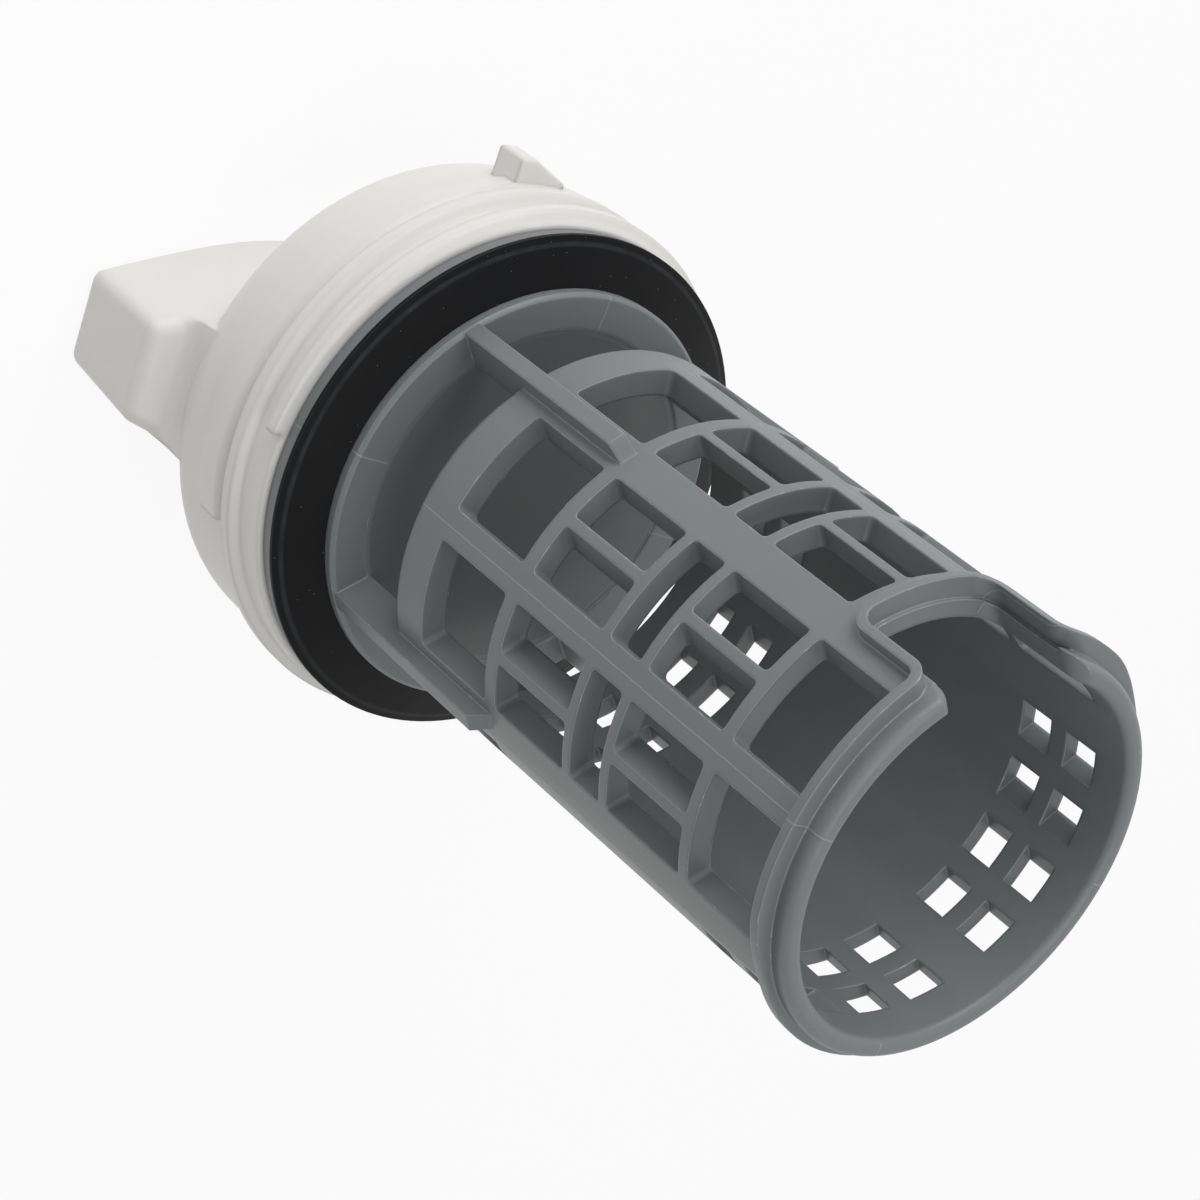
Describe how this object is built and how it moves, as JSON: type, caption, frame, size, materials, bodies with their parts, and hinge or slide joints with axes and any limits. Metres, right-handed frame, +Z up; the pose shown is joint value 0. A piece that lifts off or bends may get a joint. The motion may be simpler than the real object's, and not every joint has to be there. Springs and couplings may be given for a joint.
{
  "type": "washer drain pump filter",
  "caption": "Washing machine drain pump filter: slotted strainer basket with a notched mouth, sealing ring, and a threaded screw cap with a finger grip that swivels on the basket.",
  "frame": {"origin": "bottom centre of the bounding box, on the surface that the filter stands on", "axes": "+Z up along the filter's own axis, from the grip to the mouth of the basket; +X through the top guide rib between the two window fields"},
  "size_m": [0.0668, 0.0668, 0.1267],
  "materials": {
    "gray_moulding": "satin moulded plastic",
    "black_rubber": "smooth moulded rubber",
    "white_moulding": "satin moulded plastic"
  },
  "bodies": {
    "basket": {"filter_basket": "gray_moulding", "gasket": "black_rubber"},
    "cap": {"cap": "white_moulding"}
  },
  "joints": [
    {"name": "cap_swivel", "type": "hinge", "parent": "basket", "child": "cap", "pos_m": [0, 0, 0.0477], "axis": [0, 0, 1], "continuous": true}
  ]
}
